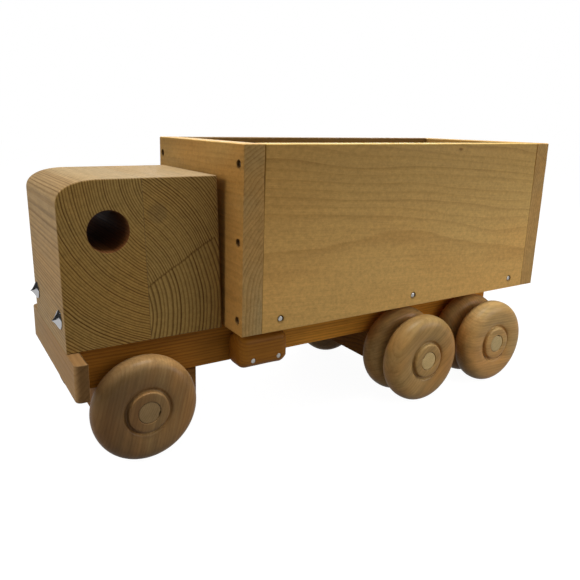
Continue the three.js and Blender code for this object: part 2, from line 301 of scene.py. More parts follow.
def cut_away(piece, shapes):
    """Cuts closed shapes, each (verts, faces), out of a piece."""
    verts, faces = [], []
    for shape_verts, shape_faces in shapes:
        faces += [[i + len(verts) for i in face] for face in shape_faces]
        verts += shape_verts
    cutter = make_object("cutter", verts, faces)
    for modifier in list(piece.modifiers):
        piece.modifiers.remove(modifier)
    boolean = piece.modifiers.new("cut", "BOOLEAN")
    boolean.object = cutter
    boolean.solver = "EXACT"
    graph = bpy.context.evaluated_depsgraph_get()
    mesh = bpy.data.meshes.new_from_object(piece.evaluated_get(graph))
    piece.modifiers.clear()
    piece.data = mesh
    bpy.data.objects.remove(cutter)
    even_normals(piece)


# ---- Materials ----


def rgb(red, green, blue):
    """Scene-linear colour from 0-255 display values."""
    made = []
    for value in (red, green, blue):
        v = value / 255
        made.append(v / 12.92 if v < 0.04045 else ((v + 0.055) / 1.055) ** 2.4)
    return (*made, 1.0)


class Graph:
    """A material's nodes, made one line at a time."""

    def __init__(self, name):
        self.material = bpy.data.materials.new(name)
        self.material.use_nodes = True
        self.tree = self.material.node_tree
        self.tree.nodes.clear()
        self.shader = self.add("ShaderNodeBsdfPrincipled")
        self.add("ShaderNodeOutputMaterial", {"Surface": self.shader.outputs[0]})
        self.place = self.add("ShaderNodeTexCoord")

    def add(self, kind, inputs=None, **settings):
        node = self.tree.nodes.new(kind)
        for key, value in settings.items():
            setattr(node, key, value)
        for key, value in (inputs or {}).items():
            self.put(node.inputs[key], value)
        return node

    def put(self, socket, value):
        if isinstance(value, bpy.types.NodeSocket):
            self.tree.links.new(value, socket)
        else:
            socket.default_value = value

    def math(self, operation, first, second=0.0, third=0.0, clamp=False):
        node = self.add("ShaderNodeMath", {0: first, 1: second, 2: third}, operation=operation)
        node.use_clamp = clamp
        return node.outputs[0]

    def vector(self, operation, first, second=None, scale=None):
        node = self.add("ShaderNodeVectorMath", {0: first}, operation=operation)
        if second is not None:
            self.put(node.inputs[1], second)
        if scale is not None:
            self.put(node.inputs["Scale"], scale)
        return node.outputs["Value" if operation in ("LENGTH", "DOT_PRODUCT") else "Vector"]

    def blend(self, factor, first, second):
        node = self.add("ShaderNodeMix", data_type="RGBA")
        self.put(node.inputs[0], factor)
        self.put(node.inputs[6], first)
        self.put(node.inputs[7], second)
        return node.outputs[2]

    def noise(self, vector, scale, detail=2.0, stretch=None, rough=0.5):
        if stretch:
            vector = self.vector("MULTIPLY", vector, stretch)
        inputs = {"Vector": vector, "Scale": scale, "Detail": detail, "Roughness": rough}
        return self.add("ShaderNodeTexNoise", inputs).outputs["Fac"]

    def span(self, value, low, high, to_low=0.0, to_high=1.0):
        inputs = {"Value": value, 1: low, 2: high, 3: to_low, 4: to_high}
        return self.add("ShaderNodeMapRange", inputs, interpolation_type="SMOOTHSTEP").outputs[0]

    def ramp(self, value, stops):
        node = self.add("ShaderNodeValToRGB", {"Fac": value})
        elements = node.color_ramp.elements
        for element, stop in zip(elements, (stops[0], stops[-1])):
            element.position = stop[0]
            element.color = (stop[1], stop[1], stop[1], 1)
        for position, level in stops[1:-1]:
            elements.new(position).color = (level, level, level, 1)
        return node.outputs[0]

    def shift(self, value, amount, total):
        """Adds value to total, centred on zero and amount times as large."""
        return self.math("MULTIPLY_ADD", self.math("SUBTRACT", value, 0.5), amount, total)

    def tinted(self, share, colour, tint):
        """The colour, multiplied by a tint where share is 1."""
        return self.blend(share, colour, self.vector("MULTIPLY", colour, tint))


# How dark a growth ring is from its start to its end
SOFT_RINGS = [(0.0, 0.0), (0.4, 0.1), (0.72, 0.75), (0.86, 1.0), (0.94, 0.95), (1.0, 0.0)]
THIN_RINGS = [(0.0, 0.0), (0.55, 0.04), (0.84, 0.7), (0.92, 1.0), (0.97, 0.7), (1.0, 0.0)]
CRISP_RINGS = [(0.0, 0.0), (0.46, 0.06), (0.66, 0.8), (0.8, 1.0), (0.92, 0.9), (1.0, 0.0)]

# Scale, detail, stretch and roughness of the noises in wood; the stretch is smallest along the grain
SLOW_BEND = (16, 2, (1, 1, 0.16))
QUICK_BEND = (90, 2, (1, 1, 0.12))
RING_SPREAD = 90
FINE_FIBRES = (1500, 3, (1, 1, 0.022), 0.6)
COARSE_FIBRES = (420, 2, (1, 1, 0.02))
PORES = (1900, 1, (1, 1, 0.1))
STREAKS = (150, 3, (1, 1, 0.07), 0.6)
WOOD_SHINE = 0.1
BUMP_DEPTH = 0.4 * MM
CRACK_TINT = (0.42, 0.36, 0.28)
KNOT_TINT = (0.5, 0.42, 0.36)
BORE_SHADE_TINT = (0.45, 0.26, 0.16)


def rings(g, local, spacing, wobble, seed, shape):
    """How dark the growth rings are at a point, 0 to 1, round the local Z axis."""
    slow = g.noise(local, *SLOW_BEND)
    quick = g.noise(local, *QUICK_BEND)
    radius = g.vector("LENGTH", g.vector("MULTIPLY", local, (1, 1, 0)))
    radius = g.math("MULTIPLY_ADD", slow, wobble, radius)
    radius = g.math("MULTIPLY_ADD", quick, 0.12 * wobble, radius)
    spread = {"W": radius, "Scale": RING_SPREAD, "Detail": 1}
    uneven = g.add("ShaderNodeTexNoise", spread, noise_dimensions="1D")
    phase = g.math("DIVIDE", radius, spacing)
    phase = g.math("MULTIPLY_ADD", uneven.outputs["Fac"], 0.9, phase)
    which = g.math("ADD", g.math("FLOOR", phase), seed)
    strength = g.add("ShaderNodeTexWhiteNoise", {"W": which}, noise_dimensions="1D").outputs["Value"]
    band = g.ramp(g.math("FRACT", phase), shape)
    return g.math("MULTIPLY", band, g.math("MULTIPLY_ADD", strength, 0.55, 0.45))


# What wood() takes for each option that a caller leaves out
WOOD = {
    "shape": SOFT_RINGS,  # of one ring
    "wobble": 0.012,  # how far the rings wander
    "contrast": 0.8,  # of the rings on end grain
    "flat": 1.0,  # the rings' contrast on side grain, as a share of that on end grain
    "seed": 1.0,
    "fibre": 0.16,  # strength of the fibres and pores
    "mottle": 0.3,  # strength of the flecks
    "fleck_scale": 260,
    "fleck_stretch": 0.28,
    "streak": 0.25,  # strength of the long streaks
    "patch": (1, 1, 1),  # tint of the large patches
    "patch_scale": 9,
    "end": 0.25,  # how much of end_tint the end grain takes
    "end_tint": (0.78, 0.8, 0.78),
    "top_tint": None,  # painted light and sheen on the surfaces that face up; below 1 it is painted shade
    "top_span": (0.75, 0.97),  # the upward part of the normal over which top_tint comes in
    "crack": None,  # see split()
    "knot": None,  # see bent_round_knot()
    "bore": None,  # (point, radius) of a hole along Y, whose inside gets painted shade
    "bands": (),  # (direction, first, last, tint) of tints that come in along a direction
    "stains": (),  # (point, size, tint) of round stains, some of which also paint shade in nail recesses
    "rough": 0.55,
    "coat": 0.0,
    "coat_rough": 0.35,
    "bump": 0.35,
}


def wood(name, grain, pith, spacing, early, late, **options):
    """Solid wood, cut through by the surface: rings round the pith line, and fibres along the grain.

    grain is the direction of the fibres, and pith a point on the middle line of the tree.
    """
    o = {**WOOD, **options}
    g = Graph(name)
    here = g.place.outputs["Object"]
    normal = g.place.outputs["Normal"]
    turn = Vector(grain).normalized().rotation_difference(UP).to_matrix()
    inputs = {"Vector": here, "Location": -(turn @ Vector(pith)), "Rotation": turn.to_euler()}
    local = g.add("ShaderNodeMapping", inputs).outputs[0]
    crack_line = None
    if o["crack"]:
        spacing, crack_line = split(g, o["crack"], spacing)
    if o["knot"]:
        local, knot_dark = bent_round_knot(g, local, turn, pith, o["knot"])
    facing = g.vector("DOT_PRODUCT", normal, tuple(Vector(grain).normalized()))
    end_share = g.math("POWER", g.math("ABSOLUTE", facing), 3.0)
    on_sides = o["contrast"] * o["flat"]
    contrast = g.math("MULTIPLY_ADD", end_share, o["contrast"] - on_sides, on_sides)
    late_share = rings(g, local, spacing, o["wobble"], o["seed"], o["shape"])
    late_share = g.math("MULTIPLY", late_share, contrast)
    fine = g.noise(local, *FINE_FIBRES)
    coarse = g.noise(local, *COARSE_FIBRES)
    pores = g.span(g.noise(local, *PORES), 0.66, 0.78)
    patch = g.span(g.noise(local, o["patch_scale"], 2, (1, 1, 0.45)), 0.35, 0.68)
    flecks = g.noise(local, o["fleck_scale"], 3, (1, 1, o["fleck_stretch"]), 0.68)
    streaks = g.noise(local, *STREAKS)

    colour = g.tinted(patch, g.blend(late_share, early, late), o["patch"])
    shade = g.shift(fine, 1.6 * o["fibre"], 1.0)
    shade = g.shift(coarse, 1.4 * o["fibre"], shade)
    shade = g.math("MULTIPLY_ADD", pores, -0.9 * o["fibre"], shade)
    shade = g.shift(flecks, o["mottle"], shade)
    shade = g.shift(streaks, o["streak"], shade)
    colour = g.vector("SCALE", colour, scale=shade)
    ended = g.math("MULTIPLY", end_share, o["end"] / 0.25, clamp=True)
    colour = g.tinted(ended, colour, o["end_tint"])
    if crack_line:
        colour = g.tinted(crack_line, colour, CRACK_TINT)
    if o["knot"]:
        colour = g.tinted(knot_dark, colour, KNOT_TINT)
    # Painted shade inside the bore, where little light gets in.
    if o["bore"]:
        middle, radius = o["bore"]
        away = g.vector("MULTIPLY", g.vector("SUBTRACT", here, tuple(middle)), (1, 0, 1))
        inside = g.span(g.vector("LENGTH", away), radius + 0.45 * MM, radius + 0.15 * MM)
        colour = g.tinted(inside, colour, BORE_SHADE_TINT)
    # Tints along a direction; some paint light or shade, as said where they are given.
    for direction, first, last, tint in o["bands"]:
        along = g.vector("DOT_PRODUCT", here, direction)
        colour = g.tinted(g.span(along, first, last), colour, tint)
    # Painted light and sheen on faces that look up; a tint below 1 paints shade there
    if o["top_tint"]:
        upward = g.vector("DOT_PRODUCT", normal, tuple(UP))
        colour = g.tinted(g.span(upward, *o["top_span"]), colour, o["top_tint"])
    # Round stains; round the box's nails they also paint shade in the recesses.
    for point, size, tint in o["stains"]:
        away = g.vector("LENGTH", g.vector("SUBTRACT", here, tuple(point)))
        colour = g.tinted(g.span(away, size, 0.55 * size), colour, tint)

    height = g.math("MULTIPLY_ADD", late_share, 0.5, g.math("MULTIPLY", fine, 0.8))
    height = g.math("MULTIPLY_ADD", pores, -0.6, height)
    height = g.math("MULTIPLY_ADD", coarse, 0.7, height)
    inputs = {"Height": height, "Distance": BUMP_DEPTH, "Strength": o["bump"]}
    bump = g.add("ShaderNodeBump", inputs)
    rough = g.math("MULTIPLY_ADD", end_share, 0.1, g.shift(coarse, 0.25, o["rough"]))
    g.put(g.shader.inputs["Base Color"], colour)
    g.put(g.shader.inputs["Roughness"], rough)
    g.put(g.shader.inputs["Normal"], bump.outputs[0])
    g.shader.inputs["Specular IOR Level"].default_value = WOOD_SHINE
    g.shader.inputs["Coat Weight"].default_value = o["coat"]
    g.shader.inputs["Coat Roughness"].default_value = o["coat_rough"]
    return g.material


CRACK_BEND = 5 * MM
CRACK_WIDTH = 1.5 * MM
CRACK_DARKNESS = 0.65


def split(g, crack, spacing):
    """Coarser rings below a crack that crosses the end grain, and the crack's own dark line.

    crack is (start, end, spacing of the rings below it).
    """
    start, end, coarser = crack
    run = (end - start).normalized()
    across = run.cross(Vector((0, 1, 0))).normalized()
    if across.z < 0:
        across = -across
    point = g.vector("SUBTRACT", g.place.outputs["Object"], tuple(start))
    off = g.vector("DOT_PRODUCT", point, tuple(across))
    off = g.shift(g.noise(point, 60, 3), CRACK_BEND, off)
    above = g.math("GREATER_THAN", off, 0.0)
    mixed = g.math("MULTIPLY_ADD", above, spacing - coarser, coarser)
    along = g.vector("DOT_PRODUCT", point, tuple(run))
    length = (end - start).length
    begun = g.span(along, -4 * MM, 3 * MM)
    inside = g.math("MULTIPLY", begun, g.span(along, length + 2 * MM, length - 6 * MM))
    line = g.span(g.math("ABSOLUTE", off), CRACK_WIDTH, 0.2 * MM)
    return mixed, g.math("MULTIPLY", g.math("MULTIPLY", line, inside), CRACK_DARKNESS)


def bent_round_knot(g, local, turn, pith, knot):
    """Grain that flows round a small knot, and the knot's dark share. knot is (point, radius)."""
    centre = turn @ (Vector(knot[0]) - Vector(pith))
    away = g.vector("MULTIPLY", g.vector("SUBTRACT", local, tuple(centre)), (1, 1, 0.45))
    near = g.span(g.vector("LENGTH", away), 5 * knot[1], 0.0)
    pushed = g.vector("SCALE", away, scale=g.math("MULTIPLY", near, -0.55))
    dark = g.span(g.vector("LENGTH", away), 1.3 * knot[1], 0.3 * knot[1])
    return g.vector("ADD", local, pushed), dark


def metal(name, colour, rough, scratch=0.08, stain=None):
    """Bare metal with fine scratches, and a duller stain in patches."""
    g = Graph(name)
    fine = g.noise(g.place.outputs["Object"], 2600, 3, (1, 1, 0.3))
    dull = g.span(g.noise(g.place.outputs["Object"], 420, 3), 0.45, 0.7)
    tone = g.blend(g.math("MULTIPLY", dull, 0.5), colour, stain or colour)
    g.put(g.shader.inputs["Base Color"], tone)
    level = g.shift(fine, 2 * scratch, rough)
    g.put(g.shader.inputs["Roughness"], g.math("MULTIPLY_ADD", dull, scratch, level))
    bump = g.add("ShaderNodeBump", {"Height": fine, "Distance": 0.05 * MM, "Strength": 0.3})
    g.put(g.shader.inputs["Normal"], bump.outputs[0])
    g.shader.inputs["Metallic"].default_value = 1.0
    return g.material


def paper():
    """The floor: a pale sheet that looks white, but throws little light back up at the truck."""
    g = Graph("floor_paper")
    fleck = g.noise(g.place.outputs["Object"], 40, 3)
    path = g.add("ShaderNodeLightPath")
    mirrored = g.math("MULTIPLY", path.outputs["Is Glossy Ray"], FLOOR_MIRRORED)
    seen = g.math("MAXIMUM", path.outputs["Is Camera Ray"], mirrored)
    level = g.shift(fleck, 0.02, FLOOR_BOUNCE)
    g.put(g.shader.inputs["Base Color"], g.vector("SCALE", (1, 1, 1), scale=level))
    g.put(g.shader.inputs["Emission Color"], (1, 1, 1, 1))
    g.put(g.shader.inputs["Emission Strength"], g.math("MULTIPLY", seen, FLOOR_GLOW))
    g.shader.inputs["Roughness"].default_value = 0.9
    g.shader.inputs["Specular IOR Level"].default_value = 0.1
    return g.material


def dress(piece, body, slot, material, *nodes):
    """Gives a finished piece its material and body, and hides the CAD nodes that it stands for. slot is
    not used.
    """
    piece.data.materials.clear()
    piece.data.materials.append(material)
    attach(piece, body)
    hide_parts(*nodes)


# ---- Nails and screws ----

NAIL_HEAD = 2.25 * MM
NAIL_LENGTH = 30 * MM
CAD_SUNK = 0.3 * MM
CAB_SCREW = {"radius": 4.2 * MM, "thickness": 3 * MM, "length": 62 * MM}
HINGE_SCREW = {"radius": 2.6 * MM, "thickness": 1.1 * MM, "length": 14 * MM}
DOWN = (0, 0, -1)
FACINGS = {"front": (1, 0, 0), "rear": (-1, 0, 0), "left": (0, 1, 0), "right": (0, -1, 0)}


def head_point(node, facing):
    """Where the middle of a fastener's head top lies in the CAD."""
    low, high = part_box(node)
    point = (low + high) / 2
    for axis in range(3):
        if facing[axis]:
            point[axis] = high[axis] if facing[axis] > 0 else low[axis]
    return point


def surface_point(node, facing):
    """Where the wood's surface lies over the middle of a fastener's head, which the CAD sinks a little."""
    return head_point(node, facing) + Vector(facing) * CAD_SUNK


def recess(point, facing, radius, depth):
    """The cup that a fastener's head sits in, to be cut out of the wood."""
    profile = [
        (0, -depth),
        (0.93 * radius, -depth),
        (radius, -0.35 * depth),
        (1.06 * radius, 0.0),
        (1.3 * radius, 0.8 * MM),
        (0, 0.8 * MM),
    ]
    return lathe_mesh(profile, 28, point, facing)


def nail(node, facing, body, material, sink):
    """A nail with a low domed head, driven sink metres below its place in the CAD."""
    r = NAIL_HEAD
    profile = [
        (0, -NAIL_LENGTH),
        (0.5 * r, -NAIL_LENGTH + 2 * MM),
        (0.5 * r, -0.9 * MM),
        (0.94 * r, -0.8 * MM),
        (r, -0.6 * MM),
        (r, -0.35 * MM),
        (0.93 * r, -0.16 * MM),
        (0.7 * r, -0.06 * MM),
        (0.35 * r, -0.02 * MM),
        (0, 0),
    ]
    centre = head_point(node, facing) - Vector(facing) * sink
    piece = turned("look_" + node, profile, centre, facing, 32)
    dress(piece, body, "nail_steel", material, node)


def screw(node, facing, body, slot, material, radius, thickness, length):
    """A screw with a domed head and a cross recess."""
    profile = [
        (0, -length),
        (0.2 * radius, -length + 3 * MM),
        (0.45 * radius, -length + 6 * MM),
        (0.45 * radius, -thickness),
        (0.85 * radius, -0.8 * thickness),
        (radius, -0.42 * thickness),
        (0.97 * radius, -0.26 * thickness),
        (0.75 * radius, -0.1 * thickness),
        (0.4 * radius, -0.02 * thickness),
        (0, 0),
    ]
    centre = head_point(node, facing)
    piece = turned("look_" + node, profile, centre, facing, 48)
    turn = UP.rotation_difference(Vector(facing)).to_matrix()
    for long_x in (True, False):
        wide, narrow = 0.52 * radius, 0.11 * radius
        half = Vector((wide, narrow, 0)) if long_x else Vector((narrow, wide, 0))
        verts = []
        for z, shrink in ((-0.55 * thickness, 0.45), (0.5 * thickness, 1.25)):
            for sx, sy in ((-1, -1), (1, -1), (1, 1), (-1, 1)):
                x = sx * half.x * (shrink if long_x else 1)
                y = sy * half.y * (1 if long_x else shrink)
                verts.append(turn @ Vector((x, y, z)) + centre)
        faces = [(3, 2, 1, 0), (4, 5, 6, 7)]
        faces += [(i, (i + 1) % 4, (i + 1) % 4 + 4, i + 4) for i in range(4)]
        cut_away(piece, [(verts, faces)])
    dress(piece, body, slot, material, node)


# ---- Cab ----

CAB_TOP = 129.5
CAB_WIDTH = 118.0
GLUE_STATION = 66.4
CAB_BACK = 129.8
LEAN = {"front": 1.5, "glue": 4.4, "back": 5.1}
ROOF = {"length": 34.0, "drop": 17.0, "roundness": 2.35, "steps": 26}
WINDOW = {"station": 35.6, "height": 90.4, "radius": 15.9}
GLUE_HALF_GAP = 0.04
CAB_EDGE = 1.1 * MM
REAR_CORNER = 0.7 * MM
FOOT_SOFTNESS = 0.5
GLUE_SOFTNESS = 0.08


def cab_place(u, v, w):
    return Vector((ZERO_STATION + u, w, v))


def cab_outline(points):
    """Station and height pairs in millimetres above the deck, as (forward, up) in metres."""
    return [Vector((-s * MM, DECK + h * MM)) for s, h in points]


def roof_profile():
    """The superellipse from the cab's leaning front over to its flat roof, as station and height pairs."""
    points = []
    for i in range(ROOF["steps"] + 1):
        along, up = quarter(i / ROOF["steps"], ROOF["roundness"])
        station = ROOF["length"] - LEAN["front"] - ROOF["length"] * along
        points.append((station, CAB_TOP - ROOF["drop"] + ROOF["drop"] * up))
    return points


def cab():
    half = CAB_WIDTH / 2 * MM
    roof = roof_profile()
    glue_top = GLUE_STATION - LEAN["glue"]
    front = [(GLUE_STATION - GLUE_HALF_GAP, 0), (0, 0), *roof, (glue_top - GLUE_HALF_GAP, CAB_TOP)]
    outline = cab_outline(front)
    window = (-WINDOW["station"] * MM, DECK + WINDOW["height"] * MM, WINDOW["radius"] * MM)
    soft = [1.0] * len(outline)
    soft[0] = FOOT_SOFTNESS
    soft[-1] = GLUE_SOFTNESS
    block = prism("look_cab_front_block", outline, (-half, half), CAB_EDGE, cab_place, soft, [window])
    dress(block, "chassis", "cab_wood", MATERIALS["cab_front"], "cab_front_block")

    rear = [(CAB_BACK, 0), (GLUE_STATION + GLUE_HALF_GAP, 0), (glue_top + GLUE_HALF_GAP, CAB_TOP)]
    rear.append((CAB_BACK - LEAN["back"], CAB_TOP))
    outline = round_corners(cab_outline(rear), [REAR_CORNER, 0, 0, REAR_CORNER])
    soft = [1.0] * len(outline)
    soft[4] = FOOT_SOFTNESS
    soft[5] = GLUE_SOFTNESS
    block = prism("look_cab_rear_block", outline, (-half, half), CAB_EDGE, cab_place, soft)
    dress(block, "chassis", "cab_wood", MATERIALS["cab_rear"], "cab_rear_block")


LAMP = {"flange": 7.5 * MM, "rim": 0.9 * MM, "cone": 6.4 * MM, "steps": 14}


def headlights():
    """Polished studs: a thin flange, hollow flanks and a blunt point."""
    flange, rim, cone = LAMP["flange"], LAMP["rim"], LAMP["cone"]
    profile = [(0, -15 * MM), (0.8 * MM, -14 * MM), (1.5 * MM, -13 * MM), (1.5 * MM, 0)]
    profile += [(0.96 * flange, 0), (flange, 0.18 * MM), (flange, 0.55 * MM), (0.96 * flange, 0.85 * MM)]
    for i in range(1, LAMP["steps"] + 1):
        t = i / LAMP["steps"]
        radius = flange * (0.92 * (1 - t) ** 1.75 + 0.06 * (1 - t))
        profile.append((radius, rim + (cone - rim) * t ** 0.95))
    for side in ("left", "right"):
        node = side + "_headlight"
        low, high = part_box(node)
        centre = Vector((high.x - cone, (low.y + high.y) / 2, (low.z + high.z) / 2))
        piece = turned("look_" + node, profile, centre, (1, 0, 0), 72)
        dress(piece, "chassis", "lamp_metal", MATERIALS["lamp"], node)


# ---- Underframe ----


BUMPER_CORNER = 4.5 * MM
BLOCK_EDGE = 0.9 * MM
BLOCK_RISE = 0.25 * MM
BLOCK_BORE = 9.5 * MM


def lying(u, v, w):
    return Vector((u, v, w))


def standing(u, v, w):
    return Vector((u, w, v))


def bumper():
    low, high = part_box("front_bumper")
    corners = [(low.x, low.y), (high.x, low.y), (high.x, high.y), (low.x, high.y)]
    outline = round_corners(corners, [0.5 * MM, BUMPER_CORNER, BUMPER_CORNER, 0.5 * MM], 8)
    piece = prism("look_front_bumper", outline, (low.z, high.z), 1.0 * MM, lying)
    dress(piece, "chassis", "bumper_wood", MATERIALS["bumper"], "front_bumper")


def axle_block(node, stations):
    """A block that rises to the beam, with a bore for each axle."""
    low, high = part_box(node)
    top = high.z + BLOCK_RISE
    corners = [(low.x, low.z), (high.x, low.z), (high.x, top), (low.x, top)]
    outline = round_corners(corners, [BLOCK_EDGE, BLOCK_EDGE, 0.3 * MM, 0.3 * MM])
    holes = []
    for axle in stations:
        axle_low, axle_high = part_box(axle)
        middle = (axle_low + axle_high) / 2
        holes.append((middle.x, middle.z, BLOCK_BORE))
    piece = prism("look_" + node, outline, (low.y, high.y), 0.8 * MM, standing, holes=holes)
    dress(piece, "chassis", "chassis_wood", MATERIALS[node], node)


def beam():
    """The long beam, countersunk from below for the two screws that hold the cab."""
    piece = board("chassis_beam", 0.9 * MM, wear=0.35, seed=2.0, step=0.02)
    screws = ["cab_screw_front", "cab_screw_rear"]
    cut_away(piece, [recess(surface_point(n, DOWN), DOWN, 4.5 * MM, 3 * MM) for n in screws])
    dress(piece, "chassis", "chassis_wood", MATERIALS["chassis"], "chassis_beam")
    for node in screws:
        screw(node, DOWN, "chassis", "nail_steel", MATERIALS["nail"], **CAB_SCREW)


def side_tank(side):
    node = side + "_side_tank"
    facing = FACINGS[side]
    piece = board(node, 8.0 * MM, wear=0.2, seed=5.0, step=0.006)
    nails = [f"tank_nail_{side}_{place}" for place in ("front", "rear")]
    cut_away(piece, [recess(surface_point(n, facing), facing, 2.35 * MM, 1.5 * MM) for n in nails])
    dress(piece, "chassis", "tank_wood", MATERIALS[node], node)
    for n in nails:
        nail(n, facing, "chassis", MATERIALS["nail"], 0.05 * MM)


def underframe():
    beam()
    axle_block("front_axle_block", ["front_axle"])
    axle_block("rear_axle_block", ["middle_axle", "rear_axle"])
    bumper()
    side_tank("left")
    side_tank("right")


# ---- Dump box ----


END_EDGES = {"radius": 0.3 * MM, "top_radius": 1.3 * MM, "wear": 0.5}
SIDE_EDGES = {"radius": 0.12 * MM, "top_radius": 1.5 * MM, "wear": 0.6, "grow": (0.15 * MM, 0, 0)}
END_NAILS = {"sink": 1.5 * MM, "hole": 3.1 * MM}
SIDE_NAILS = {"sink": 0.1 * MM, "hole": 2.8 * MM}


def dump_box():
    boards = {
        "box_front_board": dict(END_EDGES, seed=11.0),
        "box_rear_board": dict(END_EDGES, seed=23.0),
        "box_left_board": dict(SIDE_EDGES, seed=31.0),
        "box_right_board": dict(SIDE_EDGES, seed=47.0),
        "box_floor": dict(radius=0.5 * MM, wear=0.3, seed=53.0),
    }
    ends = {"box_front_board": "front", "box_rear_board": "rear"}
    sides = {"box_left_board": "left", "box_right_board": "right"}
    for name, options in boards.items():
        piece = board(name, step=0.011, **options)
        if name in ends:
            end = ends[name]
            heights = ("low", "middle", "high")
            nails = [f"{end}_board_nail_{side}_{h}" for side in sides.values() for h in heights]
            drive(piece, nails, FACINGS[end], **END_NAILS)
        elif name in sides:
            side = sides[name]
            nails = [f"floor_nail_{side}_{place}" for place in ("front", "middle", "rear")]
            drive(piece, nails, FACINGS[side], **SIDE_NAILS)
        dress(piece, "dump_box", "box_wood", MATERIALS[name], name)


def drive(piece, nails, facing, sink, hole):
    """Sinks nails into a board of the dump box, each in its own recess."""
    points = [surface_point(n, facing) for n in nails]
    cut_away(piece, [recess(p, facing, hole, sink + 1.3 * MM) for p in points])
    for n in nails:
        nail(n, facing, "dump_box", MATERIALS["nail"], sink)


def hinge():
    """The CAD hinge stays, with its edges broken, and its screws get cross recesses."""
    for node in ("hinge_chassis_leaf", "hinge_box_leaf", "hinge_pin"):
        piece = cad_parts[node]
        piece.data.materials.clear()
        piece.data.materials.append(MATERIALS["hinge"])
        bevel = piece.modifiers.new("broken_edges", "BEVEL")
        bevel.width = 0.12 * MM
        bevel.segments = 2
        bevel.limit_method = "ANGLE"
        bevel.angle_limit = math.radians(40)
        even_normals(piece)
    steel = MATERIALS["hinge"]
    for side in ("left", "right"):
        chassis, box = f"hinge_screw_chassis_{side}", f"hinge_screw_box_{side}"
        screw(chassis, FACINGS["rear"], "chassis", "nail_steel", steel, **HINGE_SCREW)
        screw(box, DOWN, "dump_box", "nail_steel", steel, **HINGE_SCREW)


# ---- Wheels and axles ----

AXLE_WHEELS = {
    "front": ["front"],
    "middle": ["middle_inner", "middle_outer"],
    "rear": ["rear_inner", "rear_outer"],
}
WHEEL_HALF = 12.7
BORE = 9.5
TYRE = {"radius": 44.45, "shoulder": 31.0, "roundness": 2.35, "steps": 20}


def wheel_profile():
    """Radius and distance out from the wheel's middle plane, in millimetres until the last line.

    It runs from the bore's inner end over the tyre to the bore's outer end, by way of the groove that
    is turned round the boss, and back through the bore.
    """
    face = WHEEL_HALF - 0.7
    points = [(BORE, -face + 0.6), (BORE + 0.6, -face), (20, -face)]
    curve = []
    for i in range(TYRE["steps"] + 1):
        across, out = quarter(i / TYRE["steps"], TYRE["roundness"])
        radius = TYRE["shoulder"] + (TYRE["radius"] - TYRE["shoulder"]) * out
        curve.append((radius, face * across))
    points += [(r, -y) for r, y in curve[:-1]] + curve[::-1]
    points += [(27.5, face), (25.2, face - 0.2), (23.2, face - 0.6), (21.6, face - 1.1)]
    points += [(20.7, face - 1.55), (20.15, face - 2.2), (19.8, face - 3.0), (19.3, face - 3.45)]
    points += [(18.5, face - 3.5), (17.9, face - 3.3), (17.5, face - 2.7), (17.3, face - 1.6)]
    points += [(17.2, face - 0.5)]
    points += [(16.9, face + 0.15), (16.3, face + 0.5), (15.3, face + 0.66), (14.0, face + 0.7)]
    points += [(BORE + 0.5, face + 0.7), (BORE, face + 0.3), (BORE, -face + 0.6)]
    return [(r * MM, y * MM) for r, y in points]


def wheels():
    profile = wheel_profile()
    for axle, names in AXLE_WHEELS.items():
        for side in ("left", "right"):
            for name in names:
                node = f"{side}_{name}_wheel"
                low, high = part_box(node)
                centre = (low + high) / 2
                piece = turned("look_" + node, profile, centre, FACINGS[side], 112)
                dress(piece, axle + "_axle_set", "wheel_wood", MATERIALS[node], node)


NOTCH_TURNS = {"front": 2.8, "middle": 5.6, "rear": 4.4}


def axles():
    """Dowels whose ends lie flush in the wheels, each with a small gap where its glue has shrunk."""
    for axle, turn in NOTCH_TURNS.items():
        node = axle + "_axle"
        low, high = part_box(node)
        centre = (low + high) / 2
        half = (high.y - low.y) / 2
        r = (high.z - low.z) / 2
        end = [(0, half + 0.15 * MM), (0.55 * r, half + 0.12 * MM), (r - 0.7 * MM, half)]
        end += [(r - 0.2 * MM, half - 0.2 * MM), (r, half - 0.7 * MM), (r, half - 4 * MM)]
        profile = [(a, -b) for a, b in end] + end[::-1]
        piece = turned("look_" + node, profile, centre, (0, 1, 0), 72, notch=(turn, 0.3, 0.9 * MM))
        dress(piece, axle + "_axle_set", "dowel_wood", MATERIALS[node], node)


# ---- The woods and metals of this truck ----

MATERIALS = {}


# Round each nail of the box: iron stain, and painted shade in its recess.
STAIN_DEPTH = 1.5 * MM
STAIN_SIZE = 4.9 * MM
NAIL_STAIN_AND_SHADE_TINT = (0.2, 0.16, 0.13)
ALONG = (1, 0, 0)
ACROSS = (0, 1, 0)


def nail_stains(start, side):
    """Dark rings round each nail whose name starts so: iron stain in the wood, and painted shade in the
    nail's recess.
    """
    nodes = sorted(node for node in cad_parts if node.startswith(start))
    inward = -STAIN_DEPTH * Vector(FACINGS[side])
    return [(head_point(node, FACINGS[side]) + inward, STAIN_SIZE, NAIL_STAIN_AND_SHADE_TINT) for node in nodes]


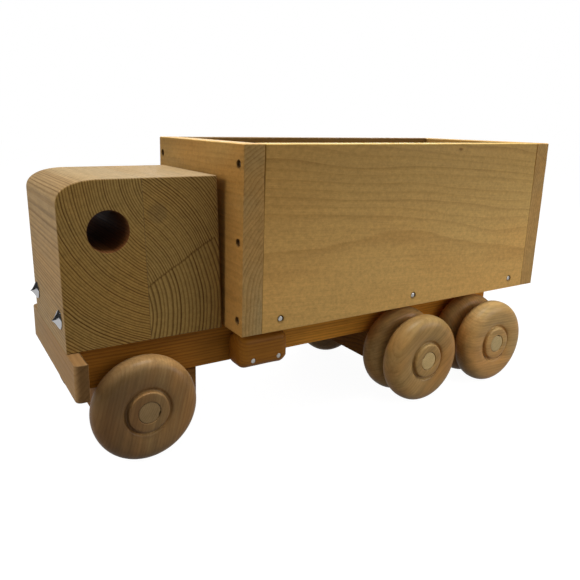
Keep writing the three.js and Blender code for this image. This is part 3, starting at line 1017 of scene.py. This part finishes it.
def cab_woods():
    early, late = rgb(172, 144, 104), rgb(86, 56, 28)
    # The cab's upward tint paints light on its roof.
    look = dict(contrast=0.95, flat=0.55, fibre=0.28, mottle=0.5, streak=0.2, rough=0.6, bump=0.6,
                wobble=0.006, shape=CRISP_RINGS, patch=(1.06, 0.98, 0.86), end_tint=(0.88, 0.81, 0.48),
                top_tint=(1.38, 1.5, 1.65), top_span=(0.95, 1.0))
    window = at(WINDOW["station"], 0, 0) + (DECK + WINDOW["height"] * MM) * UP
    MATERIALS["cab_front"] = wood("cab_front_wood", ACROSS, at(112.5, 0, 239.9), 2.1 * MM, early, late,
                                  seed=3.0, bore=(window, WINDOW["radius"] * MM), **look)
    smudge = (at(74, 59, 203), 10 * MM, (0.8, 0.82, 0.92))
    crack = (at(65.3, 59, 145.0), at(122.7, 59, 180.7), 3.4 * MM)
    MATERIALS["cab_rear"] = wood("cab_rear_wood", ACROSS, at(-0.8, 0, 118.9), 2.0 * MM, early, late,
                                 seed=9.0, crack=crack, stains=[smudge], **look)


def box_woods():
    # The upward tint paints light and sheen on the top faces of the box's boards and floor.
    look = dict(contrast=0.5, wobble=0.016, fibre=0.12, mottle=0.62, fleck_scale=360, fleck_stretch=0.8,
                streak=0.2, shape=THIN_RINGS, patch=(1.03, 0.92, 0.82), patch_scale=6, rough=0.52,
                end_tint=(0.72, 0.78, 0.76), top_tint=(2.1, 2.5, 3.2), top_span=(0.3, 0.8))
    pale, pale_line = rgb(211, 172, 103), rgb(164, 125, 67)
    knot = (at(370, 88.7, 251), 1.6 * MM)
    # Darker towards the top of each side board.
    darker_towards_top = (tuple(UP), 0.13, 0.26, (0.68, 0.65, 0.56))
    # Painted shade on the right board's inner face, where little light reaches.
    inner_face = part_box("box_right_board")[1].y
    painted_inner_shade = (ACROSS, inner_face - 1.0 * MM, inner_face - 0.3 * MM, (0.36, 0.34, 0.33))
    MATERIALS["box_left_board"] = wood(
        "box_left_wood", (1, 0, 0.07), at(377, -190, 112), 3.2 * MM, pale, pale_line,
        seed=5.0, knot=knot, stains=nail_stains("floor_nail_left", "left"), bands=[darker_towards_top], **look)
    # The right board's upward tint of 0.8 paints shade on its top edge.
    MATERIALS["box_right_board"] = wood(
        "box_right_wood", (1, 0, -0.04), at(377, 230, 90), 3.4 * MM, pale, pale_line,
        seed=15.0, stains=nail_stains("floor_nail_right", "right"), bands=[darker_towards_top, painted_inner_shade],
        **dict(look, top_tint=(0.8, 0.8, 0.8)))
    MATERIALS["box_floor"] = wood("box_floor_wood", ALONG, at(0, 30, -60), 3.2 * MM, rgb(197, 159, 95),
                                  rgb(159, 119, 61), seed=25.0, **look)
    # For the end boards, the upward tint paints light and sheen on the top edges, and the band makes them
    # darker towards the top.
    look.update(contrast=0.62, flat=0.4, streak=0.5, shape=SOFT_RINGS, patch=(1.08, 0.88, 0.66),
                patch_scale=14, end_tint=(0.97, 1.12, 1.45), top_tint=(2.0, 2.3, 3.0),
                bands=[(tuple(UP), 0.15, 0.26, (0.83, 0.78, 0.68))])
    ruddy, ruddy_line = rgb(181, 146, 88), rgb(142, 106, 57)
    for end, station, height, seed in (("front", 245, 115, 35.0), ("rear", 720, 150, 45.0)):
        MATERIALS[f"box_{end}_board"] = wood(
            f"box_{end}_wood", ACROSS, at(station, 0, height), 3.0 * MM, ruddy, ruddy_line,
            seed=seed, stains=nail_stains(f"{end}_board_nail", end), **look)


def underframe_woods():
    orange, dark_line = rgb(178, 117, 41), rgb(122, 74, 21)
    look = dict(contrast=0.7, wobble=0.006, fibre=0.24, patch=(0.95, 0.88, 0.75), rough=0.5, streak=0.5,
                mottle=0.4, end_tint=(0.7, 0.68, 0.62))
    # The chassis band is painted light: the beam gets lighter towards the rear.
    MATERIALS["chassis"] = wood("chassis_wood", ALONG, at(0, 20, -110), 2.8 * MM, orange, dark_line,
                                seed=55.0, bands=[((-1, 0, 0), -0.16, 0.02, (1.65, 1.8, 1.9))], **look)
    MATERIALS["front_axle_block"] = wood("front_block_wood", ALONG, at(0, -30, -60), 4.0 * MM,
                                         rgb(140, 98, 48), dark_line, seed=65.0, **look)
    MATERIALS["rear_axle_block"] = wood("rear_block_wood", ALONG, at(0, 40, -90), 4.2 * MM, orange,
                                        dark_line, seed=75.0, **look)
    # The bumper's upward tint is below 1: painted shade on its top.
    MATERIALS["bumper"] = wood("bumper_wood", ACROSS, at(60, 0, 30), 3.2 * MM, rgb(160, 133, 96),
                               rgb(120, 93, 61), seed=85.0, contrast=0.5, wobble=0.008,
                               patch=(1.05, 0.9, 0.72), end_tint=(0.52, 0.47, 0.4),
                               top_tint=(0.92, 0.87, 0.81))
    for side, y in (("left", 20), ("right", -20)):
        MATERIALS[side + "_side_tank"] = wood(
            side + "_tank_wood", ALONG, at(0, y, 10), 2.6 * MM, rgb(164, 112, 39), rgb(114, 70, 21),
            seed=95.0 + y, contrast=0.5, wobble=0.006, fibre=0.2, patch=(1.0, 0.88, 0.78), rough=0.45,
            end_tint=(0.8, 0.72, 0.62), coat=0.08)


# By wheel: the grain's angle in degrees. By wheel or axle: painted light on the tread's top, and tints of
# the whole, where the front wheel's is painted shade
WHEEL_GRAIN = {"left_front": 76, "left_middle_outer": 40, "left_rear_outer": 178, "left_middle_inner": 12}
TREAD_TOP_LIGHT = {"front": (2.0, 2.1, 2.3)}
PLAIN_TREAD_TOP_LIGHT = (1.25, 1.4, 1.65)
WHEEL_TONE_AND_SHADE = {"front": (0.37, 0.35, 0.38), "middle_outer": (0.9, 0.88, 0.84)}
DOWEL_TONE = {"front": (0.82, 0.77, 0.82), "middle": (1.6, 1.65, 1.75), "rear": (1.35, 1.45, 1.65)}


def toned(colour, tone):
    return (*(c * t for c, t in zip(colour, tone)), 1)


def make_wheel_woods():
    """Each wheel and dowel is its own piece of wood, so each gets its own grain and tone. The treads' tops
    get painted light, and the front wheel gets painted shade, with painted light over its rear half.
    """
    draw = random.Random(7)
    look = dict(contrast=0.3, fibre=0.2, patch=(1.08, 0.9, 0.74), patch_scale=26, rough=0.4, coat=0.2,
                coat_rough=0.25, bump=0.2, top_span=(0.25, 0.9), mottle=0.4, streak=0.75, wobble=0.01,
                end_tint=(0.86, 0.8, 0.72), end=0.2)
    for side, name in ((side, name) for names in AXLE_WHEELS.values() for side in ("left", "right")
                       for name in names):
        node = f"{side}_{name}_wheel"
        low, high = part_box(node)
        angle = math.radians(WHEEL_GRAIN.get(f"{side}_{name}", draw.uniform(0, 180)))
        grain = Vector((-math.cos(angle), 0, math.sin(angle)))
        across = Vector((math.sin(angle), 0, math.cos(angle)))
        pith = (low + high) / 2 + across * draw.uniform(0.05, 0.09)
        pith += Vector((0, draw.uniform(-0.03, 0.03), 0))
        bands = []
        # Painted light: the front wheel gets lighter towards its rear half.
        if name == "front":
            centre = (low + high).x / 2
            bands = [((-1, 0, 0), -centre - 0.036, -centre + 0.036, (2.0, 2.1, 2.15))]
        # The front wheel's darker tone is painted shade.
        tone = draw.uniform(0.94, 1.06) * Vector(WHEEL_TONE_AND_SHADE.get(name, (1, 1, 1)))
        early, late = toned(rgb(186, 149, 91), tone), toned(rgb(147, 106, 58), tone)
        # The upward tint paints light on the top of each tread.
        MATERIALS[node] = wood(node + "_wood", grain, pith, draw.uniform(2.2, 3.4) * MM, early, late,
                               seed=draw.uniform(0, 50), top_tint=TREAD_TOP_LIGHT.get(name, PLAIN_TREAD_TOP_LIGHT),
                               bands=bands, **look)
    for axle, tone in DOWEL_TONE.items():
        node = axle + "_axle"
        low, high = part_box(node)
        pith = (low + high) / 2 + Vector((draw.uniform(0.01, 0.03), 0, draw.uniform(0.01, 0.03)))
        early, late = toned(rgb(180, 152, 104), tone), toned(rgb(146, 112, 70), tone)
        MATERIALS[node] = wood(node + "_wood", ACROSS, pith, 1.8 * MM, early, late,
                               seed=draw.uniform(0, 50), contrast=0.5, wobble=0.003,
                               end_tint=(0.95, 0.96, 0.92), rough=0.5, bump=0.3)


def make_metals():
    MATERIALS["nail"] = metal("nail_steel", rgb(204, 202, 196), 0.32, stain=rgb(140, 132, 118))
    MATERIALS["lamp"] = metal("lamp_metal", rgb(222, 222, 224), 0.12, 0.03)
    MATERIALS["hinge"] = metal("hinge_steel", rgb(190, 182, 165), 0.36, stain=rgb(140, 125, 100))


# ---- Stage, lights and camera ----

SKY = {
    "low": 0.157,
    "high": 0.215,
    "towards": (0.05, 0.1, 1.0),
    "mirrored": 0.15,
    "tint": (1.0, 0.985, 0.96),
}
LIGHTS = {
    "key": {"place": (-0.15, 0.17, 1.57), "size": 0.9, "power": 14.5},
    "front": {"place": (1.3, 0.0, 0.6), "size": 1.0, "power": 8.2, "glossy": False},
    "left_fill": {"place": (-0.3, 1.0, 0.6), "size": 0.7, "power": 1.0},
    "near_fill": {"place": (-0.55, 0.55, 0.28), "size": 0.4, "power": 1.3},
    "sheen": {"place": (-0.9, -1.3, 0.5), "size": 1.2, "power": 11.5},
}
FLOOR_BOUNCE = 0.12
FLOOR_GLOW = 0.965
FLOOR_MIRRORED = 0.45
AIM = (0.0, 0.0, 0.12)


def light(name, place, size, power, glossy=True):
    data = bpy.data.lights.new(name, "AREA")
    data.shape = "DISK"
    data.size = size
    data.energy = power
    lamp = place_in_scene(name, data)
    lamp.location = place
    lamp.visible_glossy = glossy
    lamp.rotation_euler = (Vector(AIM) - Vector(place)).to_track_quat("-Z", "Y").to_euler()


def studio():
    world = bpy.data.worlds.new("studio")
    bpy.context.scene.world = world
    world.use_nodes = True
    tree = world.node_tree
    tree.nodes.clear()
    seen = tree.nodes.new("ShaderNodeBackground")
    seen.inputs["Color"].default_value = (1, 1, 1, 1)
    lit = tree.nodes.new("ShaderNodeBackground")
    lit.inputs["Color"].default_value = (*SKY["tint"], 1)
    place = tree.nodes.new("ShaderNodeTexCoord")
    towards = tree.nodes.new("ShaderNodeVectorMath")
    towards.operation = "DOT_PRODUCT"
    towards.inputs[1].default_value = Vector(SKY["towards"]).normalized()
    tree.links.new(place.outputs["Generated"], towards.inputs[0])
    level = tree.nodes.new("ShaderNodeMapRange")
    level.inputs[3].default_value = SKY["low"]
    level.inputs[4].default_value = SKY["low"] + SKY["high"]
    tree.links.new(towards.outputs["Value"], level.inputs["Value"])
    path = tree.nodes.new("ShaderNodeLightPath")
    dimmed = tree.nodes.new("ShaderNodeMapRange")
    dimmed.inputs[3].default_value = 1.0
    dimmed.inputs[4].default_value = SKY["mirrored"]
    tree.links.new(path.outputs["Is Glossy Ray"], dimmed.inputs["Value"])
    strength = tree.nodes.new("ShaderNodeMath")
    strength.operation = "MULTIPLY"
    tree.links.new(level.outputs[0], strength.inputs[0])
    tree.links.new(dimmed.outputs[0], strength.inputs[1])
    tree.links.new(strength.outputs[0], lit.inputs["Strength"])
    mix = tree.nodes.new("ShaderNodeMixShader")
    out = tree.nodes.new("ShaderNodeOutputWorld")
    tree.links.new(path.outputs["Is Camera Ray"], mix.inputs[0])
    tree.links.new(lit.outputs[0], mix.inputs[1])
    tree.links.new(seen.outputs[0], mix.inputs[2])
    tree.links.new(mix.outputs[0], out.inputs["Surface"])
    for name, options in LIGHTS.items():
        light(name, **options)
    size = 6.0
    corners = [(-size, -size, 0), (size, -size, 0), (size, size, 0), (-size, size, 0)]
    floor = make_object("studio_floor", corners, [(0, 1, 2, 3)], smooth=False)
    floor.data.materials.append(paper())


LENS = 36.158
CAMERA_PLACE = (0.33236, 0.48222, 0.27263)
CAMERA_TURN = (76.166, -1.128, 149.421)
CAMERA_SHIFT = (0.0452, -0.0424)


def make_camera():
    data = bpy.data.cameras.new("camera")
    data.sensor_width = 36
    data.lens = LENS
    data.shift_x, data.shift_y = CAMERA_SHIFT
    data.dof.use_dof = False
    data.clip_start = 0.02
    data.clip_end = 50
    made = bpy.data.objects.new("camera", data)
    bpy.context.scene.collection.objects.link(made)
    made.location = CAMERA_PLACE
    made.rotation_euler = [math.radians(a) for a in CAMERA_TURN]
    bpy.context.scene.camera = made
    bpy.context.scene.view_settings.view_transform = "Standard"


make_camera()
studio()
cab_woods()
box_woods()
underframe_woods()
make_wheel_woods()
make_metals()
cab()
headlights()
underframe()
dump_box()
hinge()
wheels()
axles()
